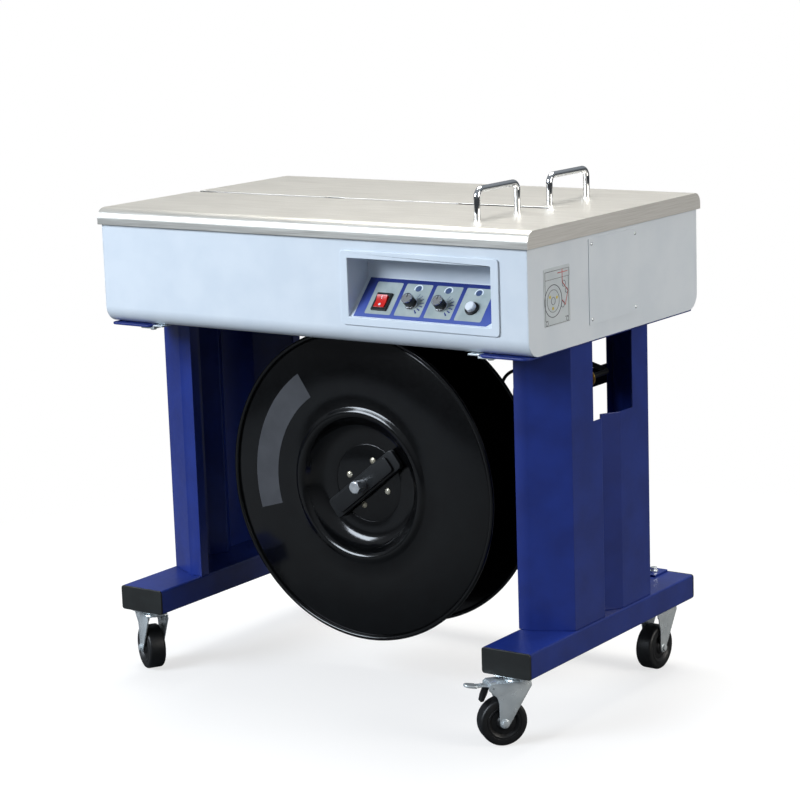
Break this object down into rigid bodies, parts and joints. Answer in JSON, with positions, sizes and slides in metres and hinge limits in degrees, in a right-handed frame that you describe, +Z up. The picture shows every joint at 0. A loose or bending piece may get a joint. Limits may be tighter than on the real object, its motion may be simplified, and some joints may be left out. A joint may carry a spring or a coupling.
{
  "type": "semi automatic strapping machine",
  "caption": "Strapping table: hinged steel top with a strap slot on a cabinet with a control pocket, two sheet-metal legs on castors and a strap reel below.",
  "frame": {"origin": "on the floor under the middle of the table", "axes": "+X to the machine's right seen from its control side, +Y to its back, +Z up"},
  "size_m": [0.9241, 0.6313, 0.9035],
  "materials": {
    "blue_white_paint": "satin",
    "blue_paint": "gloss",
    "stainless": "satin",
    "chrome": "polished",
    "zinc": "satin",
    "grey_steel": "satin",
    "dark_steel": "satin",
    "black_plastic": "matte",
    "gloss_black": "gloss",
    "red_plastic": "gloss",
    "white_plastic": "gloss",
    "black_rubber": "matte",
    "film": "satin",
    "grey_film": "satin",
    "black_paint": "satin",
    "brass": "satin",
    "green_paint": "satin",
    "board": "matte"
  },
  "bodies": {
    "machine": {"front_panel": "blue_white_paint", "rear_panel": "blue_white_paint", "left_end_panel": "blue_white_paint", "right_end_panel": "blue_white_paint", "floor_tray": "grey_steel", "access_cover": "blue_white_paint", "path_plate": "grey_film", "control_frame": "blue_white_paint", "control_label": "film", "switch_housing": "black_plastic", "knob_pots": "grey_steel", "button_housing": "black_plastic", "left_leg": "blue_paint", "right_leg": "blue_paint", "top_plates": "blue_paint", "tray_clips": "zinc", "base_tubes": "blue_paint", "tube_caps": "black_plastic", "rear_stretcher": "blue_paint", "frame_bolts": "zinc", "castor_plates": "zinc", "reel_hanger": "blue_paint", "reel_shaft": "zinc", "strap_guide": "black_paint", "arm_pivots": "zinc", "strap_track": "blue_paint", "head_frame": "grey_steel", "gear_motor": "green_paint", "transformer": "grey_steel", "circuit_board": "board", "power_inlet": "black_plastic", "hinge_leaves": "zinc"},
    "lid": {"lid": "stainless", "lid_handles": "chrome", "lid_hinges": "zinc"},
    "rocker": {"rocker": "red_plastic"},
    "feed_knob": {"feed_knob": "black_plastic"},
    "tension_knob": {"tension_knob": "black_plastic"},
    "push_button": {"push_button": "white_plastic"},
    "fork_front_left": {"fork_front_left": "zinc"},
    "wheel_front_left": {"wheel_front_left": "black_rubber"},
    "fork_front_right": {"fork_front_right": "zinc"},
    "wheel_front_right": {"wheel_front_right": "black_rubber"},
    "fork_rear_left": {"fork_rear_left": "zinc"},
    "wheel_rear_left": {"wheel_rear_left": "black_rubber"},
    "fork_rear_right": {"fork_rear_right": "zinc"},
    "wheel_rear_right": {"wheel_rear_right": "black_rubber"},
    "pedal_left": {"pedal_left": "zinc"},
    "pedal_right": {"pedal_right": "zinc"},
    "reel": {"reel_front_flange": "gloss_black", "reel_drum": "black_plastic", "reel_rear_flange": "gloss_black", "reel_screws": "zinc"},
    "lock_bar": {"lock_bar": "black_plastic"},
    "strap_arm": {"strap_arm": "black_paint"},
    "arm_roller": {"arm_roller": "brass"},
    "camshaft": {"camshaft": "dark_steel"},
    "motor_pinion": {"motor_pinion": "dark_steel"},
    "feed_roller": {"feed_roller": "dark_steel"},
    "anvil": {"anvil": "dark_steel"}
  },
  "joints": [
    {"name": "lid_hinge", "type": "hinge", "parent": "machine", "child": "lid", "pos_m": [-0.4485, 0, 0.8162], "axis": [0, -1, 0], "range_deg": [0, 95]},
    {"name": "rocker_tilt", "type": "hinge", "parent": "machine", "child": "rocker", "pos_m": [0.1465, -0.25473, 0.71463], "axis": [-1, 0, 0], "range_deg": [0, 14]},
    {"name": "feed_knob_turn", "type": "hinge", "parent": "machine", "child": "feed_knob", "pos_m": [0.2055, -0.25618, 0.716], "axis": [0, -0.726, 0.6877], "range_deg": [-135, 135]},
    {"name": "tension_knob_turn", "type": "hinge", "parent": "machine", "child": "tension_knob", "pos_m": [0.2645, -0.25618, 0.716], "axis": [0, -0.726, 0.6877], "range_deg": [-135, 135]},
    {"name": "push_button_press", "type": "slide", "parent": "machine", "child": "push_button", "axis": [0, 0.726, -0.6877], "range_m": [0, 0.003], "stiffness_N_per_m": 300, "springref_m": -0.001},
    {"name": "front_left_swivel", "type": "hinge", "parent": "machine", "child": "fork_front_left", "pos_m": [-0.39, -0.2525, 0.1], "axis": [0, 0, 1], "continuous": true},
    {"name": "front_left_roll", "type": "hinge", "parent": "fork_front_left", "child": "wheel_front_left", "pos_m": [-0.414, -0.23808, 0.04], "axis": [-0.515, -0.8572, 0], "continuous": true},
    {"name": "front_right_swivel", "type": "hinge", "parent": "machine", "child": "fork_front_right", "pos_m": [0.39, -0.2525, 0.1], "axis": [0, 0, 1], "continuous": true},
    {"name": "front_right_roll", "type": "hinge", "parent": "fork_front_right", "child": "wheel_front_right", "pos_m": [0.37163, -0.27363, 0.04], "axis": [0.7547, -0.6561, 0], "continuous": true},
    {"name": "rear_left_swivel", "type": "hinge", "parent": "machine", "child": "fork_rear_left", "pos_m": [-0.39, 0.2325, 0.1], "axis": [0, 0, 1], "continuous": true},
    {"name": "rear_left_roll", "type": "hinge", "parent": "fork_rear_left", "child": "wheel_rear_left", "pos_m": [-0.39, 0.2605, 0.04], "axis": [-1, 0, 0], "continuous": true},
    {"name": "rear_right_swivel", "type": "hinge", "parent": "machine", "child": "fork_rear_right", "pos_m": [0.39, 0.2325, 0.1], "axis": [0, 0, 1], "continuous": true},
    {"name": "rear_right_roll", "type": "hinge", "parent": "fork_rear_right", "child": "wheel_rear_right", "pos_m": [0.38902, 0.20452, 0.04], "axis": [0.9994, -0.0349, 0], "continuous": true},
    {"name": "pedal_left_press", "type": "hinge", "parent": "fork_front_left", "child": "pedal_left", "pos_m": [-0.42943, -0.22881, 0.1012], "axis": [-0.515, -0.8572, 0], "range_deg": [0, 18]},
    {"name": "pedal_right_press", "type": "hinge", "parent": "fork_front_right", "child": "pedal_right", "pos_m": [0.35982, -0.28722, 0.1012], "axis": [0.7547, -0.6561, 0], "range_deg": [0, 18]},
    {"name": "reel_spin", "type": "hinge", "parent": "machine", "child": "reel", "pos_m": [0, -0.06, 0.365], "axis": [0, 1, 0], "continuous": true},
    {"name": "lock_bar_turn", "type": "hinge", "parent": "reel", "child": "lock_bar", "pos_m": [0, -0.124, 0.365], "axis": [0, 1, 0], "range_deg": [0, 90]},
    {"name": "strap_arm_swing", "type": "hinge", "parent": "machine", "child": "strap_arm", "pos_m": [0.2, -0.007, 0.624], "axis": [0, -1, 0], "range_deg": [0, 14]},
    {"name": "arm_roller_spin", "type": "hinge", "parent": "strap_arm", "child": "arm_roller", "pos_m": [0.394, -0.035, 0.56837], "axis": [0, 1, 0], "continuous": true},
    {"name": "camshaft_turn", "type": "hinge", "parent": "machine", "child": "camshaft", "pos_m": [-0.131, -0.007, 0.7745], "axis": [1, 0, 0], "continuous": true},
    {"name": "pinion_turn", "type": "hinge", "parent": "machine", "child": "motor_pinion", "pos_m": [-0.042, 0.0353, 0.7745], "axis": [1, 0, 0], "continuous": true},
    {"name": "feed_roller_turn", "type": "hinge", "parent": "machine", "child": "feed_roller", "pos_m": [0.06, -0.007, 0.78], "axis": [0, 1, 0], "continuous": true},
    {"name": "anvil_slide", "type": "slide", "parent": "machine", "child": "anvil", "axis": [0, 1, 0], "range_m": [0, 0.014]}
  ],
  "couplings": [
    {"joint": "pinion_turn", "follows": "camshaft_turn", "ratio": -2.5}
  ]
}
